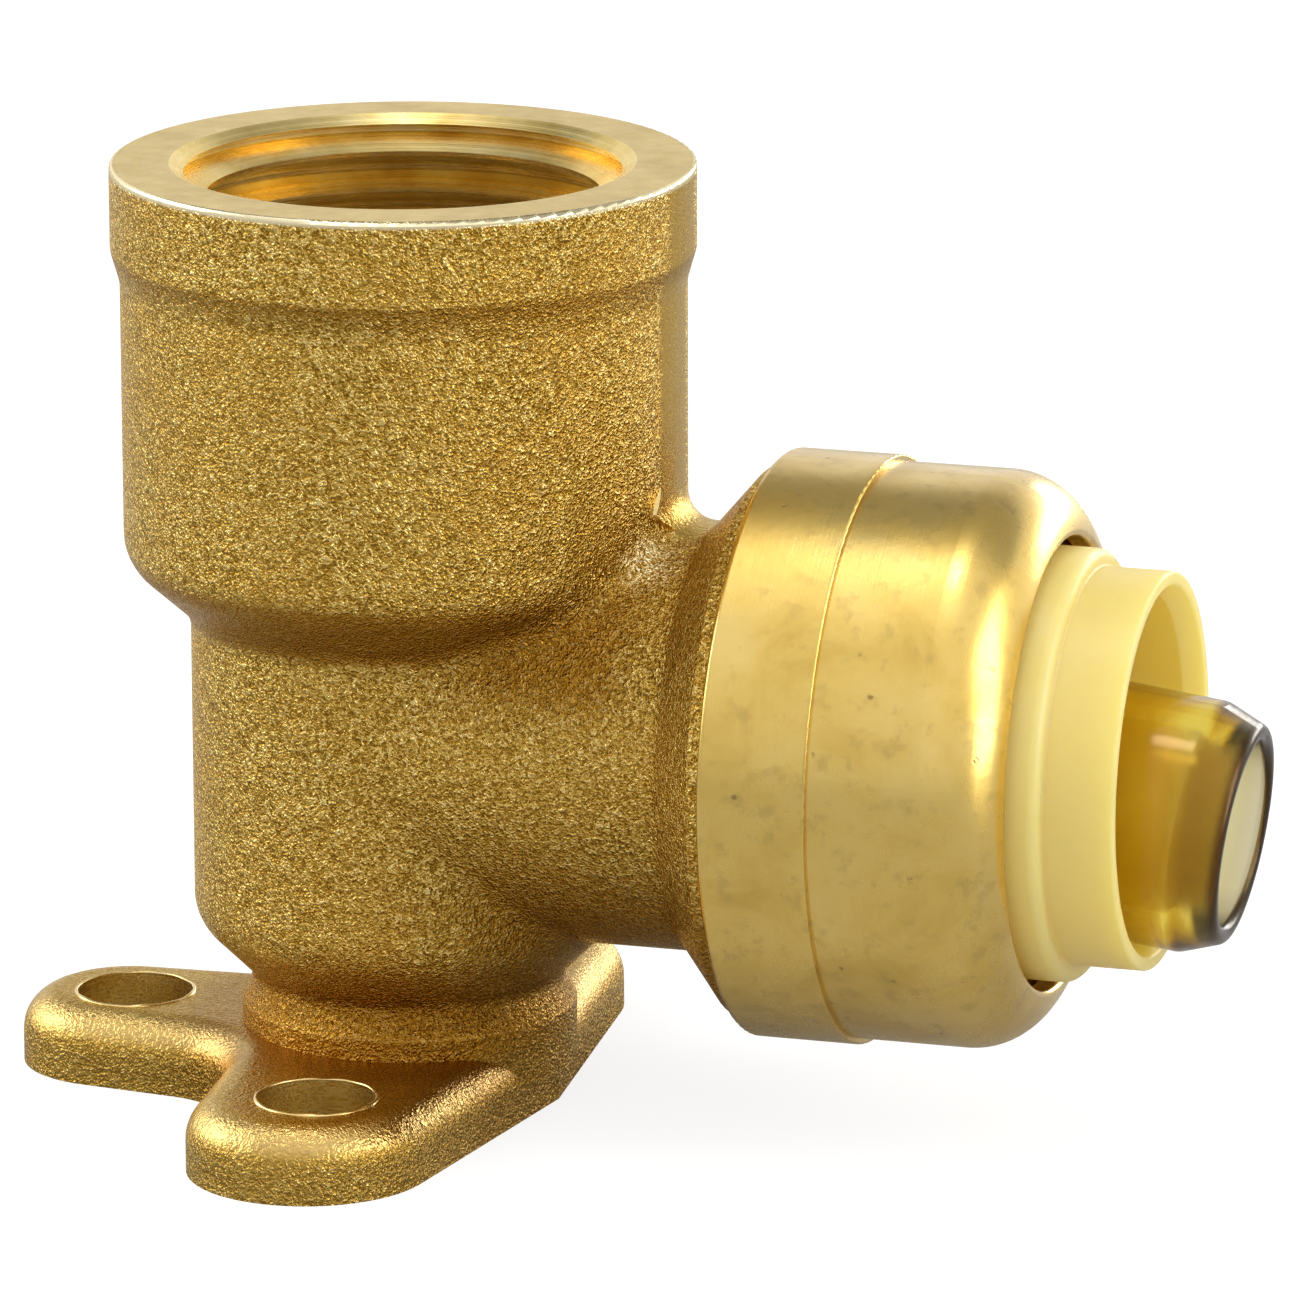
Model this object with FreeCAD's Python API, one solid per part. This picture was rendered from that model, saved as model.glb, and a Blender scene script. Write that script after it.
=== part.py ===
import FreeCAD, Part
import math
import os

# Wall plate elbow: a forged brass elbow with a threaded socket on top, a push-fit arm to the side
# and a three-eared screw plate below. Millimetres.
# Origin: on the socket axis, on the plate's wall face. +Z along the socket, +X along the arm.

Vector = FreeCAD.Vector
UP = Vector(0, 0, 1)
ALONG = Vector(1, 0, 0)

# Tube that the arm takes: half-inch nominal size
tube_r = 7.94
tube_wall = 2.065
tube_slip = 0.16
tube_depth = 25.0

# Socket: half-inch pipe thread, its grooves drawn as plain rings without the helix and the taper
thread_r = 10.55
thread_depth = 16.0
thread_height = 1.39
thread_pitch = 1.814
thread_flat = 0.2
thread_top_root = 0.72
mouth_lip_height = 0.4
mouth_flare = 0.25
socket_wall = 2.62
socket_length = 21.35
bead_height = 0.43
bead_length = 4.0
bead_slope = 1.5
bead_blend = 1.4
rim_edge_r = 0.2
shoulder_above_arm = 5.1
shoulder_angle = 48.0
shoulder_round = 2.5
shoulder_fillet = 1.6

# Lower barrel, neck and the foot that stands on the plate
barrel_over_arm = 0.07
arm_under_barrel = 0.48
barrel_bottom_round = 2.6
neck_r = 7.3
neck_above_foot = 1.45
neck_fillet = 0.7
foot_r = 7.9
foot_height = 0.95
foot_edge_r = 0.35

# Water way
water_r = 6.0
drill_point_angle = 59.0

# Screw plate; its outline sits slightly turned against the drilled holes
plate_t = 3.5
plate_edge_r = 2.0
plate_turn = -1.8
screw_r = 2.75
screw_circle_r = 13.8
ear_margin = 5.55
side_ear_r = 5.7
side_ear_flare = 7.0
back_ear_r = 5.0
back_ear_flare = 5.0
notch_r = 4.0
tip_r = 0.7

# Arm and the flange under the cap
arm_wall = 1.93
arm_fillet = 1.55
stub_length = 1.84
flange_length = 4.55
flange_cone_angle = 49.4
flange_cone_fillet = 0.6
press_clear = 0.05

# Seal
seal_section = 2.62
seal_bite = 0.06
seal_room = 5.0
seal_clear = 0.05
seal_play = 0.13

# Seal protector and grab ring
protector_flange_t = 0.9
protector_edge_r = 0.2
ring_t = 0.5
tooth_count = 12
tooth_angle = 35.0
tooth_bite = 0.09
tooth_root_step = 0.1
tooth_slot = 1.3
tooth_clear = 0.3

# Release collar
collar_travel = 2.5
collar_stand_out = 4.55
collar_wall = 1.1
collar_lead_in = 0.5
collar_lead_length = 1.0
collar_edge_r = 0.15
collar_ring_step = 0.82
collar_ring_length = 3.3
collar_ring_edge_r = 0.55
collar_flange_hold = 1.21
collar_flange_t = 1.4
collar_flange_in_dome = 0.85
collar_flange_edge_r = 0.3
collar_nose_wall = 1.2
collar_nose_bevel = 0.9
collar_nose_clear = 0.14

# Retaining cap
cap_mouth_gap = 0.47
cap_room = 0.59
cap_wall = 1.1
cap_length = 8.45
dome_r = 3.5
lip_edge_r = 0.25
skirt_step = 0.29
skirt_wall = 0.75
skirt_setback = 0.65
skirt_edge_r = 0.3
step_before_ring = 0.2
step_edge_r = 0.1

# Tube liner, which stands loose in the arm and droops on to the collar's mouth
liner_wall = 1.575
liner_rest_gap = 0.07
liner_top_gap = 0.35
liner_stop_gap = 0.2
liner_stand_out = 3.98
liner_flange_gap = 1.2
liner_flange_t = 1.2
liner_flange_edge_r = 0.2
liner_nose_length = 2.0
liner_nose_depth = 0.8
liner_nose_round = 1.2
liner_lip_r = 0.45
liner_mouth_r = 0.42

# How far a cutting form runs past what it cuts
through = 1.0

# Radii that follow, from the tube outwards
tube_bore_r = tube_r + tube_slip
arm_r = tube_bore_r + arm_wall
barrel_r = arm_r + barrel_over_arm
thread_crest_r = thread_r - thread_height
socket_r = thread_r + socket_wall
seal_room_r = tube_r + seal_section - seal_bite
tooth_tip_r = tube_r - tooth_bite
tooth_root_r = seal_room_r + tooth_root_step
collar_sleeve_r = tube_bore_r + collar_wall
collar_ring_r = collar_sleeve_r + collar_ring_step
cap_mouth_r = collar_ring_r + cap_mouth_gap
collar_flange_r = cap_mouth_r + collar_flange_hold
cap_in_r = collar_flange_r + cap_room
cap_r = cap_in_r + cap_wall
skirt_r = cap_r + skirt_step
skirt_in_r = skirt_r - skirt_wall
flange_r = skirt_in_r - press_clear
ear_reach = screw_circle_r + ear_margin

# Heights that follow, from the wall face up
foot_z = plate_t + foot_height
neck_z = foot_z + neck_above_foot
barrel_low = neck_z + barrel_r - neck_r
arm_z = barrel_low + arm_r - arm_under_barrel
barrel_top = arm_z + shoulder_above_arm
socket_top = barrel_top + socket_length

# Places that follow along the arm, from the socket out
cone_start = socket_r + stub_length
flange_back = cone_start + (flange_r - arm_r) / math.tan(math.radians(flange_cone_angle))
arm_end = flange_back + flange_length
seal_seat = arm_end - seal_room
protector_face = arm_end + protector_flange_t
ring_face = protector_face + ring_t
cap_end = ring_face + cap_length
collar_end = cap_end + collar_stand_out
tube_stop = collar_end - tube_depth
tooth_slope = math.tan(math.radians(tooth_angle))


def rounded_wire(corners):
    """A closed wire through (point, radius) corners, each corner turned into a tangent arc."""
    turns = []
    for index, (corner, radius) in enumerate(corners):
        before = (corners[index - 1][0] - corner).normalize()
        after = (corners[(index + 1) % len(corners)][0] - corner).normalize()
        half_angle = before.getAngle(after) / 2
        middle = (before + after).normalize()
        reach = radius / math.tan(half_angle)
        crest = corner + middle * (radius / math.sin(half_angle) - radius)
        turns.append((corner + before * reach, crest, corner + after * reach, radius))
    edges = []
    for index, (start, crest, end, radius) in enumerate(turns):
        leaving = turns[index - 1][2]
        if leaving.distanceToPoint(start) > 1e-6:
            edges.append(Part.makeLine(leaving, start))
        if radius > 0:
            edges.append(Part.Arc(start, crest, end).toShape())
    return Part.Wire(edges)


def turned_on_socket(profile):
    """Solid of revolution on the socket axis, from (radius, height, rounding) corners."""
    corners = [(Vector(radius, 0, height), rounding) for radius, height, rounding in profile]
    return Part.Face(rounded_wire(corners)).revolve(Vector(0, 0, 0), UP, 360)


def turned_on_arm(profile):
    """Solid of revolution on the arm axis, from (distance, radius, rounding) corners."""
    corners = [(Vector(along, 0, arm_z + radius), rounding) for along, radius, rounding in profile]
    return Part.Face(rounded_wire(corners)).revolve(Vector(0, 0, arm_z), ALONG, 360)


def shoulder_share():
    """Part of the shoulder's two roundings that its slope has room for."""
    slope_length = (socket_r - barrel_r) / math.sin(math.radians(shoulder_angle))
    wanted = (shoulder_round + shoulder_fillet) * math.tan(math.radians(shoulder_angle / 2))
    return min(1, slope_length / wanted)


def socket_form():
    """Foot, neck, lower barrel, shoulder and beaded socket as one turned form."""
    shoulder_rise = (socket_r - barrel_r) / math.tan(math.radians(shoulder_angle))
    share = shoulder_share()
    bead_low = socket_top - bead_length
    bead_r = socket_r + bead_height
    return turned_on_socket([
        (0, plate_t / 2, 0),
        (foot_r, plate_t / 2, 0),
        (foot_r, foot_z, foot_edge_r),
        (neck_r, neck_z, neck_fillet),
        (barrel_r, barrel_low, barrel_bottom_round),
        (barrel_r, barrel_top, shoulder_fillet * share),
        (socket_r, barrel_top + shoulder_rise, shoulder_round * share),
        (socket_r, bead_low - bead_slope, bead_blend),
        (bead_r, bead_low, bead_blend),
        (bead_r, socket_top, rim_edge_r),
        (0, socket_top, 0),
    ])


def arm_form():
    """Arm stub that flares into the flange under the cap."""
    return turned_on_arm([
        (0, 0, 0),
        (0, arm_r, 0),
        (cone_start, arm_r, flange_cone_fillet),
        (flange_back, flange_r, 0),
        (arm_end, flange_r, 0),
        (arm_end, 0, 0),
    ])


def ear_apex(flare, end_r):
    """How far out the two sides of an ear would meet, had it no round end."""
    return ear_reach - end_r + end_r / math.sin(math.radians(flare))


def plate_form():
    """Three ears whose flaring sides meet in two notches and a blunt tip below the arm."""
    side_slope = math.tan(math.radians(side_ear_flare))
    back_slope = math.tan(math.radians(back_ear_flare))
    side_apex = ear_apex(side_ear_flare, side_ear_r)
    back_apex = ear_apex(back_ear_flare, back_ear_r)
    tip = side_apex * side_slope
    notch_x = (side_apex - back_apex * back_slope) * side_slope / (1 - side_slope * back_slope)
    notch_y = (back_apex - notch_x) * back_slope
    outline = rounded_wire([
        (Vector(tip, 0, 0), tip_r),
        (Vector(0, side_apex, 0), side_ear_r),
        (Vector(-notch_x, notch_y, 0), notch_r),
        (Vector(-back_apex, 0, 0), back_ear_r),
        (Vector(-notch_x, -notch_y, 0), notch_r),
        (Vector(0, -side_apex, 0), side_ear_r),
    ])
    slab = Part.Face(outline).extrude(UP * plate_t)
    top_edges = [edge for edge in slab.Edges if edge.BoundBox.ZMin > plate_t - 0.001]
    slab = slab.makeFillet(plate_edge_r, top_edges)
    slab.rotate(Vector(0, 0, 0), UP, plate_turn)
    return slab


def screw_holes():
    """One plain hole through each ear."""
    holes = []
    for turn in (90, 180, 270):
        angle = math.radians(turn)
        centre = Vector(screw_circle_r * math.cos(angle), screw_circle_r * math.sin(angle), -plate_t)
        holes.append(Part.makeCylinder(screw_r, 3 * plate_t, centre, UP))
    return holes


def thread_grooves():
    """Corners of the thread's ring grooves, from the lowest up to the one that the mouth cuts into."""
    count = int((thread_depth - thread_top_root) / thread_pitch)
    top_root_z = socket_top - thread_top_root
    half_root = thread_flat / 2
    half_gap = (thread_pitch - thread_flat) / 2
    corners = []
    for index in range(count - 1, -1, -1):
        root_z = top_root_z - index * thread_pitch
        corners += [
            (thread_crest_r, root_z - half_gap, 0),
            (thread_r, root_z - half_root, 0),
            (thread_r, root_z + half_root, 0),
            (thread_crest_r, root_z + half_gap, 0),
        ]
    lip_rise = (half_gap - half_root) * mouth_lip_height / thread_height
    corners[-1] = (thread_r - mouth_lip_height, top_root_z + half_root + lip_rise, 0)
    return corners


def water_ways():
    """Threaded bore with its water way down to the elbow, and the stepped bore of the arm."""
    thread_low = socket_top - thread_depth
    point_drop = (thread_crest_r - water_r) / math.tan(math.radians(drill_point_angle))
    blind_drop = water_r / math.tan(math.radians(drill_point_angle))
    water_low = arm_z - water_r
    down = turned_on_socket([
        (0, water_low - blind_drop / 2, 0),
        (water_r, water_low + blind_drop / 2, 0),
        (water_r, thread_low - point_drop, 0),
        (thread_crest_r, thread_low, 0),
        *thread_grooves(),
        (thread_r + mouth_flare, socket_top, 0),
        (thread_r + mouth_flare, socket_top + through, 0),
        (0, socket_top + through, 0),
    ])
    along = turned_on_arm([
        (0, 0, 0),
        (0, water_r, 0),
        (tube_stop, water_r, 0),
        (tube_stop, tube_bore_r, 0),
        (seal_seat, tube_bore_r, 0),
        (seal_seat, seal_room_r, 0),
        (arm_end + through, seal_room_r, 0),
        (arm_end + through, 0, 0),
    ])
    return [down, along]


def joint_fillet():
    """Fillet between arm and socket, no larger than the stub and the shoulder leave room for."""
    stub_room = stub_length - flange_cone_fillet * math.tan(math.radians(flange_cone_angle / 2))
    return min(arm_fillet, stub_room, shoulder_fillet * shoulder_share())


def arm_joint_edges(form):
    """Edges where the arm's stub runs into the socket, its shoulder and the lower barrel."""
    found = []
    for edge in form.Edges:
        middle = edge.valueAt((edge.FirstParameter + edge.LastParameter) / 2)
        on_stub = abs(math.hypot(middle.y, middle.z - arm_z) - arm_r) < 0.01
        if on_stub and 0.1 < middle.x < socket_r + 0.1:
            found.append(edge)
    return found


def elbow_body():
    """The forged and bored elbow: socket, arm and plate in one piece."""
    form = socket_form().fuse(arm_form()).removeSplitter()
    form = form.makeFillet(joint_fillet(), arm_joint_edges(form))
    form = form.fuse(plate_form()).removeSplitter()
    return form.cut(water_ways() + screw_holes())


def retaining_cap():
    """Drawn cup with a wider skirt over the flange and a round mouth for the collar."""
    skirt_start = flange_back + skirt_setback
    step_x = ring_face - step_before_ring
    cup = turned_on_arm([
        (skirt_start, 0, 0),
        (skirt_start, skirt_r, skirt_edge_r),
        (step_x, skirt_r, step_edge_r),
        (step_x, cap_r, 0),
        (cap_end, cap_r, dome_r),
        (cap_end, 0, 0),
    ])
    hollow = turned_on_arm([
        (skirt_start - through, 0, 0),
        (skirt_start - through, skirt_in_r, 0),
        (ring_face, skirt_in_r, 0),
        (ring_face, cap_in_r, 0),
        (cap_end - cap_wall, cap_in_r, dome_r - cap_wall),
        (cap_end - cap_wall, 0, 0),
    ])
    mouth = Part.makeCylinder(cap_mouth_r, cap_length + through, Vector(ring_face, 0, arm_z), ALONG)
    cap = cup.cut([hollow, mouth])
    lip_edges = [
        edge for edge in cap.Edges
        if isinstance(edge.Curve, Part.Circle)
        and abs(edge.Curve.Radius - cap_mouth_r) < 0.001
        and edge.BoundBox.XMin > cap_end - cap_wall / 2
    ]
    return cap.makeFillet(lip_edge_r, lip_edges)


def release_collar():
    """Sleeve with a thicker ring in the cap's mouth, a flange behind the lip and a bevelled nose."""
    nose_r = tube_bore_r + collar_nose_wall
    nose_tip_r = nose_r - collar_nose_bevel
    pressed_nose = ring_face - (tooth_root_r - nose_tip_r) * tooth_slope + collar_nose_clear
    nose_end = pressed_nose + collar_travel
    flange_face = cap_end - dome_r + collar_flange_in_dome
    ring_end = collar_end - collar_ring_length
    return turned_on_arm([
        (nose_end, tube_bore_r, 0),
        (nose_end, nose_tip_r, 0),
        (nose_end + collar_nose_bevel, nose_r, 0),
        (flange_face - collar_flange_t, nose_r, 0),
        (flange_face - collar_flange_t, collar_flange_r, collar_flange_edge_r),
        (flange_face, collar_flange_r, collar_flange_edge_r),
        (flange_face, collar_ring_r, 0),
        (ring_end, collar_ring_r, collar_ring_edge_r),
        (ring_end, collar_sleeve_r, collar_edge_r),
        (collar_end, collar_sleeve_r, collar_edge_r),
        (collar_end, tube_bore_r + collar_lead_in, collar_edge_r),
        (collar_end - collar_lead_length, tube_bore_r, collar_edge_r),
    ])


def o_ring():
    """Rubber ring in the seal room, a little smaller inside than the tube."""
    half = seal_section / 2
    middle_r = seal_room_r - seal_clear - half
    at = Vector(seal_seat + seal_clear + half, 0, arm_z)
    return Part.makeTorus(middle_r, half, at, ALONG)


def seal_protector():
    """Ring that closes the seal room and leaves room behind the teeth."""
    nose_end = seal_seat + seal_clear + seal_section + seal_play
    nose_r = seal_room_r - seal_clear
    recess_low_r = tube_bore_r + tooth_clear
    recess_end = protector_face - (tooth_root_r - recess_low_r) * tooth_slope - tooth_clear
    return turned_on_arm([
        (nose_end, tube_bore_r, 0),
        (nose_end, nose_r, protector_edge_r),
        (arm_end, nose_r, 0),
        (arm_end, flange_r, 0),
        (protector_face, flange_r, 0),
        (protector_face, tooth_root_r, 0),
        (recess_end, recess_low_r, 0),
        (recess_end, tube_bore_r, 0),
    ])


def grab_ring():
    """Spring ring: a flat rim with teeth bent towards the tube stop."""
    tip_drop = (tooth_root_r - tooth_tip_r) * tooth_slope
    sheet = turned_on_arm([
        (protector_face, tooth_root_r, 0),
        (protector_face, flange_r, 0),
        (ring_face, flange_r, 0),
        (ring_face, tooth_root_r, 0),
        (ring_face - tip_drop, tooth_tip_r, 0),
        (protector_face - tip_drop, tooth_tip_r, 0),
    ])
    slot_length = ring_t + tip_drop + 2 * through
    slot_height = tooth_root_r - tooth_tip_r + through
    corner = Vector(protector_face - tip_drop - through, -tooth_slot / 2, arm_z + tooth_tip_r - through)
    slots = []
    for index in range(tooth_count):
        slot = Part.makeBox(slot_length, tooth_slot, slot_height, corner)
        slot.rotate(Vector(0, 0, arm_z), ALONG, index * 360 / tooth_count)
        slots.append(slot)
    return sheet.cut(slots)


def tube_liner():
    """Thin sleeve that fits inside the tube, with a small flange inside and a blunt nose outside."""
    liner_r = tube_r - tube_wall
    bore_r = liner_r - liner_wall
    inner_flange_r = tube_bore_r - liner_flange_gap
    inner_x = tube_stop + liner_stop_gap
    rest_x = collar_end - collar_lead_length
    rise = tube_bore_r - liner_top_gap - inner_flange_r
    drop = tube_bore_r - liner_rest_gap - liner_r
    droop = math.atan((rise + drop) / (rest_x - inner_x))
    pivot_x = rest_x - (tube_bore_r - liner_rest_gap - liner_r / math.cos(droop)) / math.tan(droop)
    lean = inner_flange_r * math.sin(droop)
    inner = pivot_x - (pivot_x - inner_x - lean) / math.cos(droop)
    outer = pivot_x + (collar_end + liner_stand_out - pivot_x) / math.cos(droop)
    liner = turned_on_arm([
        (inner, bore_r, 0),
        (inner, inner_flange_r, liner_flange_edge_r),
        (inner + liner_flange_t, inner_flange_r, liner_flange_edge_r),
        (inner + liner_flange_t, liner_r, 0),
        (outer - liner_nose_length, liner_r, liner_nose_round),
        (outer, liner_r - liner_nose_depth, liner_lip_r),
        (outer, bore_r, liner_mouth_r),
    ])
    liner.rotate(Vector(pivot_x, 0, arm_z), Vector(0, 1, 0), math.degrees(droop))
    return liner


PIECES = (
    elbow_body,
    retaining_cap,
    release_collar,
    grab_ring,
    seal_protector,
    o_ring,
    tube_liner,
)

os.makedirs("parts", exist_ok=True)
for piece in PIECES:
    piece().exportStep("parts/" + piece.__name__ + ".step")
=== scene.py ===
import math

import bpy
from mathutils import Matrix, Vector


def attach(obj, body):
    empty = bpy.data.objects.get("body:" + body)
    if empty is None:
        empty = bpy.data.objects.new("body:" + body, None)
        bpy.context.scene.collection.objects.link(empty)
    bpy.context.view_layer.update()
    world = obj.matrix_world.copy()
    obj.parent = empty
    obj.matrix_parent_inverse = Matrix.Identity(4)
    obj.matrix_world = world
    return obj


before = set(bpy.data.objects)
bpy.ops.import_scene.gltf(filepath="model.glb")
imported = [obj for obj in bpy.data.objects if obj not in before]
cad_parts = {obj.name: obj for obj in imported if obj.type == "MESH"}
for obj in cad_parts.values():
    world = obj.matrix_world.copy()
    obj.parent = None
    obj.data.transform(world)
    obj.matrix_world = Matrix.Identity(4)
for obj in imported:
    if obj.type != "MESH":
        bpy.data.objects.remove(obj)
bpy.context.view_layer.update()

MM = 0.001

# Sizes of the solids that the added pieces and the finishes refer to, in millimetres
RIM_Z = 44.7
RIM_R = 13.6
BEAD_Z = 40.7
MOUTH_R = 10.8
SOCKET_FLOOR_Z = 28.0
FOOT_R = 7.9
FOOT_Z = 4.45
PLATE_T = 3.5
HOLE_R = 2.75
HOLE_CIRCLE_R = 13.8
ARM_Z = 18.25
ARM_CREST = (13.1, 4.4, 27.4)
LINER_BORE_R = 4.3
LINER_SPLIT_R = 4.5  # between the liner's bore and its outside
LINER_SLOPE = 0.1263
LINER_DROOP = math.atan(LINER_SLOPE)
LINER_PIVOT_X = 18.70
LINER_END = 21.85  # along the drooping axis, from the pivot
SKIN = 0.03  # a finish that ends at a wall reaches this far past it

# Where the screw holes are, in degrees round the socket's axis
REAR_HOLE, LEFT_HOLE, FRONT_HOLE = 90, 180, 270

# Tones of the finishes: place on the ramp, and linear colour
FORGED_TONES = (
    (0.39, (0.245, 0.125, 0.013)),
    (0.47, (0.435, 0.255, 0.038)),
    (0.54, (0.570, 0.368, 0.077)),
    (0.63, (0.800, 0.610, 0.225)),
)
RIM_CUT_TONES = (
    (0.30, (0.48, 0.335, 0.105)),
    (0.50, (0.63, 0.468, 0.178)),
    (0.70, (0.76, 0.597, 0.275)),
)
BORE_CUT_TONES = (
    (0.30, (0.70, 0.490, 0.145)),
    (0.50, (0.83, 0.640, 0.250)),
    (0.70, (0.91, 0.765, 0.390)),
)
BURR_TONES = (
    (0.30, (0.66, 0.44, 0.14)),
    (0.50, (0.82, 0.61, 0.25)),
    (0.70, (0.93, 0.77, 0.42)),
)
CAP_TONES = (
    (0.28, (0.64, 0.425, 0.092)),
    (0.48, (0.74, 0.512, 0.130)),
    (0.70, (0.79, 0.572, 0.178)),
)
COLLAR_TONES = ((0.30, (0.99, 0.790, 0.290)), (0.70, (0.995, 0.820, 0.345)))
LINER_TONES = ((0.30, (0.93, 0.89, 0.80)), (0.70, (0.97, 0.94, 0.88)))
STEEL_TONES = ((0.3, (0.42, 0.41, 0.40)), (0.7, (0.62, 0.61, 0.59)))
PLASTIC_TONES = ((0.3, (0.05, 0.05, 0.05)), (0.7, (0.11, 0.11, 0.11)))
RUBBER_TONES = ((0.3, (0.012, 0.012, 0.012)), (0.7, (0.03, 0.03, 0.03)))

# Single colours, linear
GRAZING_BRASS = (1.0, 0.95, 0.79, 1)
WARM_BRASS = (0.52, 0.28, 0.04)
# painted shade: the next three browns darken the hollows, the corner under the bead's step and the plate's
# upright sides
HOLLOW_SHADE_BROWN = (0.31, 0.130, 0.007)
STEP_SHADE_BROWN = (0.27, 0.125, 0.012)
SIDE_SHADE_BROWN = (0.33, 0.20, 0.04)
WORN_BRASS = (0.78, 0.61, 0.31)
# painted highlight on the arm's polished crest
GLINT_HIGHLIGHT_BRASS = (0.90, 0.76, 0.44)
# the rim's polished outer edge, paler as a painted highlight
RIM_EDGE_HIGHLIGHT = (0.95, 0.83, 0.53)
DULL_BRASS = (0.50, 0.345, 0.10)
PIT_BROWN = (0.22, 0.14, 0.05)
COLLAR_GLOW = (1.0, 0.84, 0.24, 1)
COLLAR_SCATTER = (1.0, 0.93, 0.45)
LINER_GLOSS = (1.0, 0.70, 0.36, 1)
LINER_SMOKE = (0.935, 0.835, 0.0, 1)
# painted shade on the liner's nose
NOSE_SHADE_BROWN = (0.60, 0.42, 0.22)
SCUFFED_GREY = (0.40, 0.38, 0.48)
# painted shade on the liner's lip
LIP_SHADE_BROWN = (0.13, 0.07, 0.022)
WHITE = (1, 1, 1, 1)

scene = bpy.context.scene
scene.view_settings.view_transform = "Standard"


# Helpers


def add_mesh(name, verts_mm, faces, material, body="fitting", smooth=True):
    """A new mesh piece from points in millimetres."""
    mesh = bpy.data.meshes.new(name)
    mesh.from_pydata([tuple(c * MM for c in v) for v in verts_mm], [], faces)
    mesh.validate()
    for poly in mesh.polygons:
        poly.use_smooth = smooth
    mesh.materials.append(material)
    piece = bpy.data.objects.new(name, mesh)
    scene.collection.objects.link(piece)
    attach(piece, body)


def hole_centre(turn):
    """Middle of a screw hole, in millimetres."""
    angle = math.radians(turn)
    return HOLE_CIRCLE_R * math.cos(angle), HOLE_CIRCLE_R * math.sin(angle)


class Shader:
    """A node material with short calls for the nodes that are used here."""

    def __init__(self, name):
        self.mat = bpy.data.materials.new(name)
        self.mat.use_nodes = True
        self.tree = self.mat.node_tree
        self.bsdf = self.tree.nodes["Principled BSDF"]
        self.output = self.tree.nodes["Material Output"]

    def set(self, **values):
        for key, value in values.items():
            self.bsdf.inputs[key.replace("_", " ")].default_value = value

    def node(self, kind, **settings):
        made = self.tree.nodes.new(kind)
        for key, value in settings.items():
            setattr(made, key, value)
        return made

    def feed(self, socket, value):
        """Links a socket, or sets a plain value."""
        if isinstance(value, bpy.types.NodeSocket):
            self.tree.links.new(value, socket)
        elif value is not None:
            socket.default_value = value

    def coords(self):
        """Place in the part's frame, in millimetres."""
        place = self.node("ShaderNodeTexCoord")
        scale = self.node("ShaderNodeVectorMath", operation="SCALE")
        self.feed(scale.inputs[0], place.outputs["Object"])
        scale.inputs["Scale"].default_value = 1 / MM
        return scale.outputs[0]

    def split(self, vector):
        parts = self.node("ShaderNodeSeparateXYZ")
        self.feed(parts.inputs[0], vector)
        return parts.outputs[0], parts.outputs[1], parts.outputs[2]

    def join(self, x, y, z):
        made = self.node("ShaderNodeCombineXYZ")
        for socket, value in zip(made.inputs, (x, y, z)):
            self.feed(socket, value)
        return made.outputs[0]

    def math(self, operation, a, b=None, c=None):
        made = self.node("ShaderNodeMath", operation=operation)
        for socket, value in zip(made.inputs, (a, b, c)):
            self.feed(socket, value)
        return made.outputs[0]

    def product(self, first, *others):
        for other in others:
            first = self.math("MULTIPLY", first, other)
        return first

    def largest(self, first, *others):
        for other in others:
            first = self.math("MAXIMUM", first, other)
        return first

    def inverse(self, value):
        return self.math("SUBTRACT", 1.0, value)

    def below(self, value, limit):
        return self.math("LESS_THAN", value, limit)

    def above(self, value, limit):
        return self.math("GREATER_THAN", value, limit)

    def across(self, a, b):
        """Distance from the origin in the plane of a and b."""
        return self.math("SQRT", self.math("ADD", self.product(a, a), self.product(b, b)))

    def ramp01(self, value, low, high):
        """0 at low, 1 at high, smooth between; low may be the larger one."""
        made = self.node("ShaderNodeMapRange", interpolation_type="SMOOTHSTEP")
        self.feed(made.inputs["Value"], value)
        made.inputs["From Min"].default_value = low
        made.inputs["From Max"].default_value = high
        return made.outputs[0]

    def span(self, value, low, high, out_low, out_high):
        """Straight line from out_low at low to out_high at high."""
        made = self.node("ShaderNodeMapRange")
        self.feed(made.inputs["Value"], value)
        made.inputs["From Min"].default_value = low
        made.inputs["From Max"].default_value = high
        made.inputs["To Min"].default_value = out_low
        made.inputs["To Max"].default_value = out_high
        return made.outputs[0]

    def noise(self, vector, scale, detail=2.0, rough=0.5, distortion=0.0):
        made = self.node("ShaderNodeTexNoise")
        self.feed(made.inputs["Vector"], vector)
        made.inputs["Scale"].default_value = scale
        made.inputs["Detail"].default_value = detail
        made.inputs["Roughness"].default_value = rough
        made.inputs["Distortion"].default_value = distortion
        return made.outputs["Fac"]

    def cells(self, vector, scale):
        """Distance to the nearest of some scattered points."""
        made = self.node("ShaderNodeTexVoronoi", feature="F1")
        self.feed(made.inputs["Vector"], vector)
        made.inputs["Scale"].default_value = scale
        return made.outputs["Distance"]

    def colours(self, value, stops):
        made = self.node("ShaderNodeValToRGB")
        self.feed(made.inputs[0], value)
        points = made.color_ramp.elements
        while len(points) < len(stops):
            points.new(0.5)
        for point, (place, colour) in zip(points, stops):
            point.position = place
            point.color = (*colour, 1)
        return made.outputs[0]

    def mix(self, factor, a, b):
        """Colour between a and b."""
        made = self.node("ShaderNodeMix", data_type="RGBA")
        self.feed(made.inputs[0], factor)
        for socket, value in ((made.inputs[6], a), (made.inputs[7], b)):
            self.feed(socket, (*value, 1) if isinstance(value, tuple) else value)
        return made.outputs[2]

    def blend(self, factor, a, b):
        """Plain number between a and b."""
        made = self.node("ShaderNodeMix", data_type="FLOAT")
        self.feed(made.inputs[0], factor)
        self.feed(made.inputs[2], a)
        self.feed(made.inputs[3], b)
        return made.outputs[0]

    def bump(self, height, distance_mm, strength=1.0, before=None):
        made = self.node("ShaderNodeBump")
        self.feed(made.inputs["Strength"], strength)
        made.inputs["Distance"].default_value = distance_mm * MM
        self.feed(made.inputs["Height"], height)
        if before is not None:
            self.feed(made.inputs["Normal"], before)
        return made.outputs[0]

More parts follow.
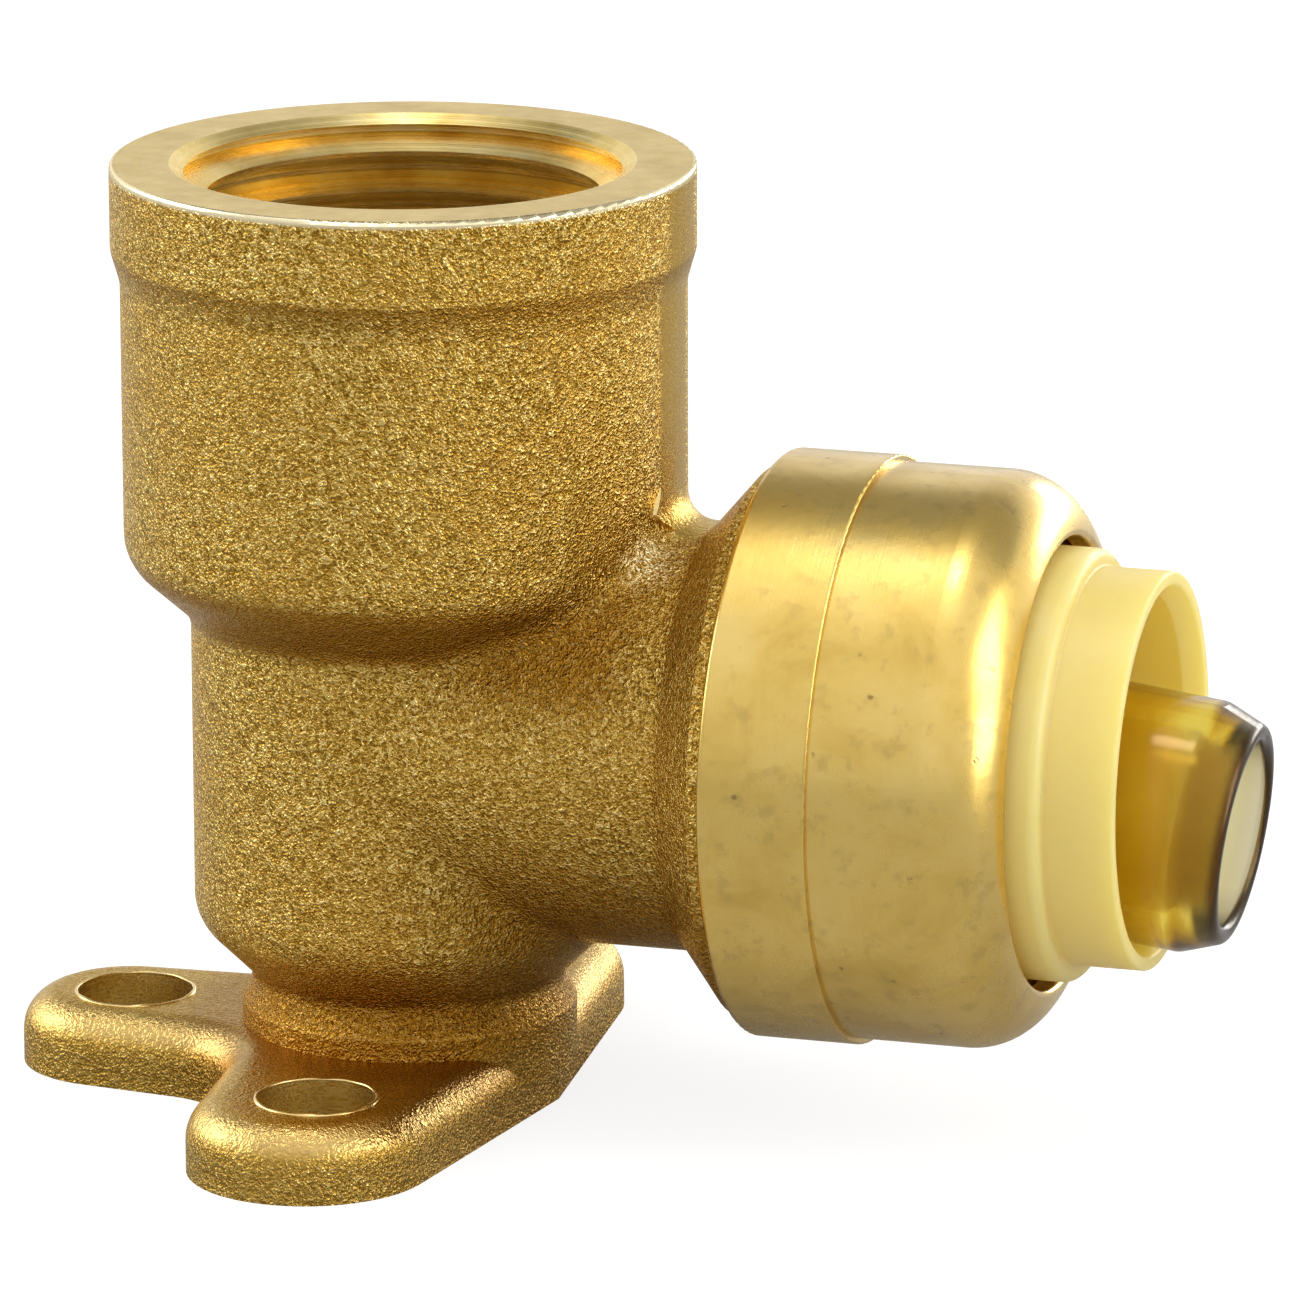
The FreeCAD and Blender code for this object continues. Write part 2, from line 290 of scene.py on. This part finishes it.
    def finish(self, colour=None, rough=None, normal=None):
        self.feed(self.bsdf.inputs["Base Color"], colour)
        self.feed(self.bsdf.inputs["Roughness"], rough)
        self.feed(self.bsdf.inputs["Normal"], normal)
        return self.mat


# Finishes


def hole_distance(s, x, y):
    """Distance to the axis of the nearest screw hole."""
    nearest = None
    for turn in (REAR_HOLE, LEFT_HOLE, FRONT_HOLE):
        cx, cy = hole_centre(turn)
        away = s.across(s.math("SUBTRACT", x, cx), s.math("SUBTRACT", y, cy))
        nearest = away if nearest is None else s.math("MINIMUM", nearest, away)
    return nearest


def forged_brass():
    """Sand-blasted forging, with machined rim, thread and screw holes, edges worn bright, painted shade in its
    hollows and painted highlights on the arm's crest and the rim's edge.
    """
    s = Shader("forged_brass_look")
    s.set(Metallic=1.0, Specular_Tint=GRAZING_BRASS)
    at = s.coords()
    x, y, z = s.split(at)
    off_middle = s.math("ABSOLUTE", y)
    radius = s.across(x, y)
    facing = s.node("ShaderNodeNewGeometry")
    up = s.split(facing.outputs["Normal"])[2]

    # machined places: the rim's face, the threaded socket and the three drilled holes
    rim = s.ramp01(z, RIM_Z - 0.2, RIM_Z - 0.08)
    bored = s.product(s.below(radius, MOUTH_R + SKIN), s.above(z, SOCKET_FLOOR_Z))
    drilled = s.product(s.below(hole_distance(s, x, y), HOLE_R + SKIN), s.below(z, PLATE_T + 0.2))
    golden = s.largest(bored, drilled)

    # edges rubbed bright: the plate's and the foot's upper edges, and the rim's outer edge, which is polished and
    # also painted paler as a highlight
    sloping = s.product(s.ramp01(up, 0.25, 0.6), s.inverse(s.ramp01(up, 0.9, 0.99)))
    plate_edge = s.product(s.below(z, PLATE_T + 0.05), s.inverse(drilled))
    foot_height = s.product(s.ramp01(z, FOOT_Z - 0.5, FOOT_Z - 0.3), s.ramp01(z, FOOT_Z + 0.15, FOOT_Z))
    foot_edge = s.product(s.ramp01(radius, FOOT_R - 0.6, FOOT_R - 0.3), foot_height, 1.6)
    # the rim's outer edge: polished, and painted a pale colour as a highlight
    rim_polish_and_highlight = s.product(s.ramp01(radius, RIM_R - 0.3, RIM_R - 0.1), s.ramp01(z, RIM_Z - 0.42, RIM_Z - 0.2))
    worn = s.largest(s.product(sloping, s.largest(plate_edge, foot_edge)), rim_polish_and_highlight)
    machined = s.largest(s.product(rim, s.inverse(rim_polish_and_highlight)), golden)

    # the arm's crest beside the socket, polished by handling: smoother there, and painted with a highlight
    crest = s.node("ShaderNodeVectorMath", operation="DISTANCE")
    s.feed(crest.inputs[0], s.join(x, off_middle, z))
    s.feed(crest.inputs[1], ARM_CREST)
    crest_polish_and_highlight = s.ramp01(crest.outputs["Value"], 2.1, 0.5)

    # blasted grain: wavy crumbs on a coarser roll, smoother on the plate's top, on polished places
    # and where the flash was trimmed off the parting line
    crumbs = s.noise(at, 4.3, detail=2.0, rough=0.55, distortion=0.9)
    fine = s.noise(at, 9.0, detail=0.0)
    roll = s.noise(at, 0.8, detail=0.0)
    broad = s.noise(at, 0.16, detail=1.0, rough=0.6)
    grain = s.blend(0.28, crumbs, fine)
    grain_middle = 0.52
    trimmed = s.product(s.inverse(s.ramp01(off_middle, 1.6, 2.6)), s.ramp01(x, 9.0, 11.0))
    pressed = s.product(s.ramp01(z, PLATE_T + 1.6, PLATE_T + 0.6), s.ramp01(up, 0.0, 0.55))
    smoother = s.largest(s.product(trimmed, 0.75), s.product(crest_polish_and_highlight, 0.3), rim_polish_and_highlight, s.product(pressed, 0.66))
    plain = s.inverse(smoother)
    spread = s.math("MULTIPLY_ADD", s.math("SUBTRACT", grain, grain_middle), plain, grain_middle)
    tone = s.colours(spread, FORGED_TONES)
    warm = s.mix(s.ramp01(broad, 0.35, 0.7), tone, s.mix(0.3, tone, WARM_BRASS))

    # painted shade: browner and darker round the foot, under the arm, in the crook under the socket's shoulder
    # and on faces turned downwards there
    foot = s.product(s.ramp01(z, 9.0, 5.5), s.ramp01(radius, 12.5, 9.5))
    under_arm = s.product(s.ramp01(z, 15.5, 10.5), s.ramp01(x, 3.0, 8.5))
    under_shoulder = s.product(s.ramp01(z, 20.0, 23.0), s.ramp01(z, 27.5, 25.0))
    crook = s.product(under_shoulder, s.ramp01(x, 3.0, 8.0), s.ramp01(x, 14.5, 11.5))
    overhang = s.product(s.ramp01(up, -0.15, -0.5), s.ramp01(z, 21.5, 23.0), s.ramp01(z, 27.0, 26.0))
    hollow_shade = s.largest(foot, overhang, under_arm, crook)
    # painted shadow: a dark line in the corner under the bead's step, fading out downwards
    step = s.product(s.ramp01(z, BEAD_Z - 1.3, BEAD_Z - 0.2), s.ramp01(z, BEAD_Z + 0.12, BEAD_Z - 0.1))
    # painted shade: the plate's upright sides, below its top, are made darker brown
    upright = s.inverse(s.ramp01(s.math("ABSOLUTE", up), 0.2, 0.5))
    plate_side_shade = s.product(s.below(z, PLATE_T), upright)
    # painted highlight: pale brass sparks on the polished crest, broken up by the grain
    crest_highlight_sparks = s.product(crest_polish_and_highlight, s.ramp01(grain, 0.42, 0.60))
    forged = warm
    # paint over the tone: painted shade in the hollows, under the bead's step and on the plate's sides, worn
    # edges, and painted highlights on the crest and the rim's edge
    for share, paint in (
        (s.product(hollow_shade, 0.72), HOLLOW_SHADE_BROWN),
        (s.product(step, 0.6), STEP_SHADE_BROWN),
        (s.product(plate_side_shade, 0.5), SIDE_SHADE_BROWN),
        (s.product(worn, 0.30), WORN_BRASS),
        (s.product(crest_highlight_sparks, 0.9), GLINT_HIGHLIGHT_BRASS),
        (rim_polish_and_highlight, RIM_EDGE_HIGHLIGHT),
    ):
        forged = s.mix(share, forged, paint)

    # turning marks round the socket's axis on the machined places
    rings = s.noise(s.join(s.product(radius, 9.0), s.product(z, 9.0), 0.0), 1.0, detail=1.0)
    stains = s.noise(at, 0.55, detail=2.0, rough=0.65)
    marks = s.blend(0.6, rings, stains)
    cut = s.mix(golden, s.colours(marks, RIM_CUT_TONES), s.colours(marks, BORE_CUT_TONES))
    colour = s.mix(machined, forged, cut)
    blasted_rough = s.math("SUBTRACT", s.span(grain, 0.38, 0.64, 0.34, 0.18), s.product(worn, 0.05))
    rough = s.blend(machined, blasted_rough, s.span(rings, 0.3, 0.7, 0.22, 0.36))
    height = s.math("ADD", grain, s.product(roll, 0.35))
    shaped = s.bump(height, 0.30, s.product(s.inverse(machined), plain))
    normal = s.bump(rings, 0.008, machined, shaped)
    return s.finish(colour, rough, normal)


def drawn_brass():
    """Satin drawn cap: faint rings, rubbed blotches and a few small pits."""
    s = Shader("drawn_brass_look")
    s.set(Metallic=1.0, Coat_Weight=0.3, Coat_Roughness=0.14)
    at = s.coords()
    x, y, z = s.split(at)
    angle = s.math("ARCTAN2", y, s.math("SUBTRACT", z, ARM_Z))
    lines = s.noise(s.join(s.product(x, 7.0), s.product(angle, 1.2), 0.0), 1.0, detail=4.0, rough=0.6)
    blotch = s.noise(at, 0.22, detail=4.0, rough=0.62, distortion=0.6)
    spots = s.noise(at, 0.9, detail=3.0, rough=0.6)
    pits = s.product(s.inverse(s.ramp01(s.cells(at, 0.62), 0.05, 0.13)), s.ramp01(spots, 0.5, 0.62))
    tone = s.colours(blotch, CAP_TONES)
    dull = s.mix(s.product(s.ramp01(spots, 0.52, 0.72), 0.5), tone, DULL_BRASS)
    colour = s.mix(s.product(pits, 0.7), dull, PIT_BROWN)
    rough = s.math("ADD", s.span(blotch, 0.3, 0.7, 0.30, 0.20), s.product(lines, 0.05))
    dents = s.bump(s.math("SUBTRACT", s.product(spots, 0.6), pits), 0.03, 0.5)
    normal = s.bump(lines, 0.006, 0.7, dents)
    return s.finish(colour, rough, normal)


def cream_plastic():
    """Moulded acetal: pale, slightly see-through, with a fine moulded surface."""
    s = Shader("cream_plastic_look")
    s.set(Subsurface_Weight=0.85, Subsurface_Scale=0.0016, Subsurface_Radius=COLLAR_SCATTER)
    s.set(IOR=1.48, Specular_IOR_Level=0.65)
    at = s.coords()
    cloud = s.noise(at, 0.18, detail=3.0)
    fine = s.noise(at, 5.0, detail=3.0)
    through = s.node("ShaderNodeBsdfTranslucent")
    through.inputs["Color"].default_value = COLLAR_GLOW
    both = s.node("ShaderNodeMixShader")
    both.inputs[0].default_value = 0.33
    s.feed(both.inputs[1], s.bsdf.outputs[0])
    s.feed(both.inputs[2], through.outputs[0])
    s.feed(s.output.inputs["Surface"], both.outputs[0])
    rough = s.span(fine, 0.3, 0.7, 0.30, 0.40)
    return s.finish(s.colours(cloud, COLLAR_TONES), rough, s.bump(fine, 0.012, 0.5))


def smoky_plastic():
    """Brown see-through plastic with faint flow marks, darker the more of it the light crosses."""
    s = Shader("smoky_plastic_look")
    s.set(Transmission_Weight=1.0, IOR=1.50, Specular_IOR_Level=0.14, Specular_Tint=LINER_GLOSS)
    at = s.coords()
    x, y, z = s.split(at)
    flow = s.noise(at, 0.35, detail=3.0, distortion=1.2)

    # place round and along the drooping axis
    middle = s.math("MULTIPLY_ADD", x, -LINER_SLOPE, ARM_Z + LINER_SLOPE * LINER_PIVOT_X)
    radius = s.across(y, s.math("SUBTRACT", z, middle))
    level = s.product(s.math("SUBTRACT", x, LINER_PIVOT_X), math.cos(LINER_DROOP))
    along = s.math("ADD", level, s.product(s.math("SUBTRACT", z, ARM_Z), -math.sin(LINER_DROOP)))

    # painted shade: browner on the nose's outside and dark on its lip; scuffed inside the mouth
    nose = s.ramp01(along, LINER_END - 2.0, LINER_END - 1.2)
    nose_shade = s.product(nose, s.above(radius, LINER_SPLIT_R))
    scuffed = s.product(s.below(radius, LINER_SPLIT_R), s.ramp01(x, 37.0, 38.5))
    lip = s.product(s.ramp01(along, LINER_END - 0.70, LINER_END - 0.25), s.above(radius, LINER_BORE_R + SKIN))
    colour = s.colours(flow, LINER_TONES)
    for share, tint in ((s.product(nose_shade, 0.2), NOSE_SHADE_BROWN), (scuffed, SCUFFED_GREY), (lip, LIP_SHADE_BROWN)):
        colour = s.mix(share, colour, tint)

    smoke = s.node("ShaderNodeVolumeAbsorption")
    smoke.inputs["Color"].default_value = LINER_SMOKE
    smoke.inputs["Density"].default_value = 580.0
    s.feed(s.output.inputs["Volume"], smoke.outputs[0])
    rough = s.math("ADD", s.span(flow, 0.3, 0.7, 0.10, 0.17), s.product(nose, 0.10))
    return s.finish(colour, rough, s.bump(flow, 0.03, 0.4))


def spring_steel():
    """Rolled stainless strip."""
    s = Shader("spring_steel_look")
    s.set(Metallic=1.0)
    grain = s.noise(s.coords(), 4.0, detail=4.0, rough=0.65)
    colour = s.colours(grain, STEEL_TONES)
    return s.finish(colour, s.span(grain, 0.3, 0.7, 0.22, 0.36), s.bump(grain, 0.01, 0.5))


def dull_black(name, tones, rough_low, rough_high):
    """Dark plastic or rubber with a fine matt grain."""
    s = Shader(name)
    grain = s.noise(s.coords(), 3.0, detail=4.0, rough=0.6)
    colour = s.colours(grain, tones)
    return s.finish(colour, s.span(grain, 0.3, 0.7, rough_low, rough_high), s.bump(grain, 0.02, 0.5))


def cut_brass():
    """Freshly cut brass of the burrs and the flash."""
    s = Shader("cut_brass_look")
    s.set(Metallic=1.0)
    at = s.coords()
    x, y, z = s.split(at)
    round_axis = s.product(s.math("ARCTAN2", y, x), 3.0)
    chatter = s.noise(s.join(round_axis, 0.0, s.product(z, 8.0)), 1.0, detail=3.0)
    stains = s.noise(at, 0.7, detail=4.0, rough=0.65)
    colour = s.colours(s.blend(0.6, chatter, stains), BURR_TONES)
    return s.finish(colour, s.span(chatter, 0.3, 0.7, 0.18, 0.32), s.bump(chatter, 0.012, 0.6))


LOOKS = {
    "elbow_body": forged_brass(),
    "retaining_cap": drawn_brass(),
    "release_collar": cream_plastic(),
    "tube_liner": smoky_plastic(),
    "grab_ring": spring_steel(),
    "seal_protector": dull_black("inner_plastic_look", PLASTIC_TONES, 0.35, 0.5),
    "o_ring": dull_black("seal_rubber_look", RUBBER_TONES, 0.45, 0.65),
}
for node_name, look in LOOKS.items():
    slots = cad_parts[node_name].data.materials
    slots.clear()
    slots.append(look)

CUT_BRASS = cut_brass()


# Added pieces

BURR_STEPS = 96
# Section of a burr: how far outwards from the hole's wall and upwards from the plate's top
BURR_SECTION = ((-0.03, -0.05), (-0.02, 0.05), (0.05, 0.07), (0.14, 0.02), (0.15, -0.05))

# Course of the flash: place, direction outwards and share of the full height
FLASH_PATH = (
    ((13.01, -2.07, 30.48), (0.99, -0.15, 0.0), 0.2),
    ((12.97, -2.27, 30.08), (0.98, -0.18, 0.0), 0.8),
    ((12.92, -2.57, 29.65), (0.98, -0.20, 0.0), 1.1),
    ((12.88, -2.70, 29.36), (0.97, -0.22, 0.07), 0.9),
    ((12.96, -2.55, 29.13), (0.95, -0.24, 0.17), 1.2),
    ((13.12, -2.29, 28.89), (0.86, -0.26, 0.44), 0.8),
    ((13.33, -2.04, 28.65), (0.73, -0.25, 0.64), 1.0),
    ((13.60, -1.80, 28.47), (0.65, -0.25, 0.72), 0.2),
)
FLASH_HEIGHT = 0.16
FLASH_HALF_WIDTH = 0.13
FLASH_SUNK = 0.05


def hole_burr(name, turn, seed):
    """Thin uneven lip that the drill left round a screw hole."""
    cx, cy = hole_centre(turn)
    verts = []
    for step in range(BURR_STEPS):
        angle = 2 * math.pi * step / BURR_STEPS
        uneven = 1 + 0.35 * math.sin(5 * angle + seed) + 0.3 * math.sin(11 * angle + 2 * seed)
        for out, up in BURR_SECTION:
            radius = HOLE_R + 0.01 + out * (0.7 + 0.3 * uneven)
            verts.append((cx + radius * math.cos(angle), cy + radius * math.sin(angle), PLATE_T + up * uneven))
    faces = []
    count = len(BURR_SECTION)
    for step in range(BURR_STEPS):
        after = (step + 1) % BURR_STEPS
        for k in range(count):
            nxt = (k + 1) % count
            faces.append((step * count + k, after * count + k, after * count + nxt, step * count + nxt))
    add_mesh(name, verts, faces, CUT_BRASS)


def parting_flash():
    """Ragged trace of trimmed flash where the arm runs into the socket."""
    verts = []
    for index, (place, out, share) in enumerate(FLASH_PATH):
        place, out = Vector(place), Vector(out).normalized()
        before = Vector(FLASH_PATH[max(0, index - 1)][0])
        after = Vector(FLASH_PATH[min(len(FLASH_PATH) - 1, index + 1)][0])
        side = (after - before).cross(out).normalized() * FLASH_HALF_WIDTH
        root = place - out * FLASH_SUNK
        verts += [root - side, place + out * FLASH_HEIGHT * share, root + side]
    faces = []
    for a in range(0, len(verts) - 3, 3):
        faces += [(a, a + 1, a + 4, a + 3), (a + 1, a + 2, a + 5, a + 4), (a + 2, a, a + 3, a + 5)]
    add_mesh("parting_flash", verts, faces, CUT_BRASS, smooth=False)


parting_flash()
hole_burr("hole_burr_left", LEFT_HOLE, 0.7)
hole_burr("hole_burr_front", FRONT_HOLE, 2.1)
hole_burr("hole_burr_rear", REAR_HOLE, 4.4)


# Floor, light and camera

FLOOR_HALF = 4.0
PAPER = (0.46, 0.46, 0.46, 1)  # what the floor sends back to the object
SHOWN_PAPER = (0.25, 0.25, 0.25, 1)  # what shows the shadow to the camera, over the glow
PAPER_GLOW = 0.82

LIT_CENTRE = Vector((0.010, 0, 0.022))
# Name, azimuth from the front to the right, elevation, distance, width, height, power
SOFT_BOXES = (
    ("top_box", -60, 82, 0.70, 0.52, 0.40, 0.29),
    ("top_core", -100, 87, 0.70, 0.13, 0.13, 0.42),
    ("right_box", 88, 18, 0.75, 0.44, 0.66, 3.60),
    ("back_box", 160, 9, 0.80, 0.50, 0.22, 1.70),
    ("left_box", -92, 25, 0.75, 0.60, 0.50, 3.25),
)

# Camera fitted to the photo: places in millimetres, roll in degrees
CAMERA_PLACE = (138.76, -417.66, 137.85)
CAMERA_AIM = (11.88, 0.0, 22.16)
CAMERA_ROLL = -0.12
CAMERA_LENS = 269.2


def white_floor():
    """Pale floor: white to the camera apart from the shadow it takes."""
    half = FLOOR_HALF
    mesh = bpy.data.meshes.new("floor")
    mesh.from_pydata([(-half, -half, 0), (half, -half, 0), (half, half, 0), (-half, half, 0)], [], [(0, 1, 2, 3)])
    mat = bpy.data.materials.new("floor_paper")
    mat.use_nodes = True
    tree = mat.node_tree
    tree.nodes.clear()
    paper = tree.nodes.new("ShaderNodeBsdfDiffuse")
    paper.inputs["Color"].default_value = PAPER
    shown_paper = tree.nodes.new("ShaderNodeBsdfDiffuse")
    shown_paper.inputs["Color"].default_value = SHOWN_PAPER
    glow = tree.nodes.new("ShaderNodeEmission")
    glow.inputs["Strength"].default_value = PAPER_GLOW
    shown = tree.nodes.new("ShaderNodeAddShader")
    path = tree.nodes.new("ShaderNodeLightPath")
    seen = tree.nodes.new("ShaderNodeMath")
    seen.operation = "MAXIMUM"
    choose = tree.nodes.new("ShaderNodeMixShader")
    out = tree.nodes.new("ShaderNodeOutputMaterial")
    link = tree.links.new
    link(shown_paper.outputs[0], shown.inputs[0])
    link(glow.outputs[0], shown.inputs[1])
    link(path.outputs["Is Camera Ray"], seen.inputs[0])
    link(path.outputs["Is Transmission Ray"], seen.inputs[1])
    link(seen.outputs[0], choose.inputs[0])
    link(paper.outputs[0], choose.inputs[1])
    link(shown.outputs[0], choose.inputs[2])
    link(choose.outputs[0], out.inputs[0])
    mesh.materials.append(mat)
    floor = bpy.data.objects.new("floor", mesh)
    scene.collection.objects.link(floor)


def studio_world():
    """White backdrop behind, a softly lit room in front, white wherever the camera looks."""
    world = bpy.data.worlds.new("studio")
    scene.world = world
    world.use_nodes = True
    tree = world.node_tree
    tree.nodes.clear()
    link = tree.links.new
    place = tree.nodes.new("ShaderNodeTexCoord")
    parts = tree.nodes.new("ShaderNodeSeparateXYZ")
    link(place.outputs["Generated"], parts.inputs[0])
    right, behind, above = parts.outputs

    def ramp(socket, low, high, out_low=0.0, out_high=1.0):
        made = tree.nodes.new("ShaderNodeMapRange")
        made.interpolation_type = "SMOOTHSTEP"
        link(socket, made.inputs["Value"])
        made.inputs["From Min"].default_value = low
        made.inputs["From Max"].default_value = high
        made.inputs["To Min"].default_value = out_low
        made.inputs["To Max"].default_value = out_high
        return made.outputs[0]

    def calc(operation, a, b):
        made = tree.nodes.new("ShaderNodeMath")
        made.operation = operation
        for socket, value in zip(made.inputs, (a, b)):
            if isinstance(value, (int, float)):
                socket.default_value = value
            else:
                link(value, socket)
        return made.outputs[0]

    # the room: brighter above, dimmer to the left and high up behind
    upwards = ramp(above, -0.1, 0.8, out_low=0.84, out_high=1.12)
    sideways = ramp(right, -0.8, 0.1, out_low=0.80, out_high=1.0)
    high_behind = calc("MULTIPLY", ramp(behind, 0.10, 0.35), ramp(above, 0.45, 0.62))
    room = calc("SUBTRACT", calc("MULTIPLY", upwards, sideways), calc("MULTIPLY", high_behind, 0.72))

    # the backdrop that metal mirrors, and plain white for the camera and through the liner
    backdrop = calc("MULTIPLY", ramp(behind, 0.15, 0.45), ramp(above, 0.62, 0.45))
    path = tree.nodes.new("ShaderNodeLightPath")
    mirrored = calc("MULTIPLY", path.outputs["Is Glossy Ray"], backdrop)
    seen = calc("MAXIMUM", path.outputs["Is Camera Ray"], path.outputs["Is Transmission Ray"])
    dim = tree.nodes.new("ShaderNodeBackground")
    dim.inputs["Color"].default_value = WHITE
    link(room, dim.inputs["Strength"])
    bright = tree.nodes.new("ShaderNodeBackground")
    bright.inputs["Color"].default_value = WHITE
    bright.inputs["Strength"].default_value = 1.0
    choose = tree.nodes.new("ShaderNodeMixShader")
    out = tree.nodes.new("ShaderNodeOutputWorld")
    link(calc("MAXIMUM", seen, mirrored), choose.inputs[0])
    link(dim.outputs[0], choose.inputs[1])
    link(bright.outputs[0], choose.inputs[2])
    link(choose.outputs[0], out.inputs[0])


def soft_box(name, azimuth, elevation, distance, width, height, power):
    """Area light that looks at the object; azimuth 0 is the front, positive to the right."""
    a, e = math.radians(azimuth), math.radians(elevation)
    away = Vector((math.sin(a) * math.cos(e), -math.cos(a) * math.cos(e), math.sin(e)))
    data = bpy.data.lights.new(name, "AREA")
    data.shape = "RECTANGLE"
    data.size = width
    data.size_y = height
    data.energy = power
    lamp = bpy.data.objects.new(name, data)
    lamp.location = LIT_CENTRE + away * distance
    lamp.rotation_mode = "QUATERNION"
    lamp.rotation_quaternion = away.to_track_quat("Z", "Y")
    scene.collection.objects.link(lamp)


def photo_camera():
    """Camera at the photo's viewing angle."""
    data = bpy.data.cameras.new("camera")
    data.sensor_width = 36.0
    data.lens = CAMERA_LENS
    data.clip_start = 0.02
    data.clip_end = 20.0
    cam = bpy.data.objects.new("camera", data)
    place = Vector(CAMERA_PLACE) * MM
    aim = Vector(CAMERA_AIM) * MM
    roll = Matrix.Rotation(math.radians(CAMERA_ROLL), 3, "Z")
    turn = (aim - place).to_track_quat("-Z", "Y").to_matrix() @ roll
    cam.matrix_world = Matrix.Translation(place) @ turn.to_4x4()
    scene.collection.objects.link(cam)
    scene.camera = cam


white_floor()
studio_world()
for box in SOFT_BOXES:
    soft_box(*box)
photo_camera()
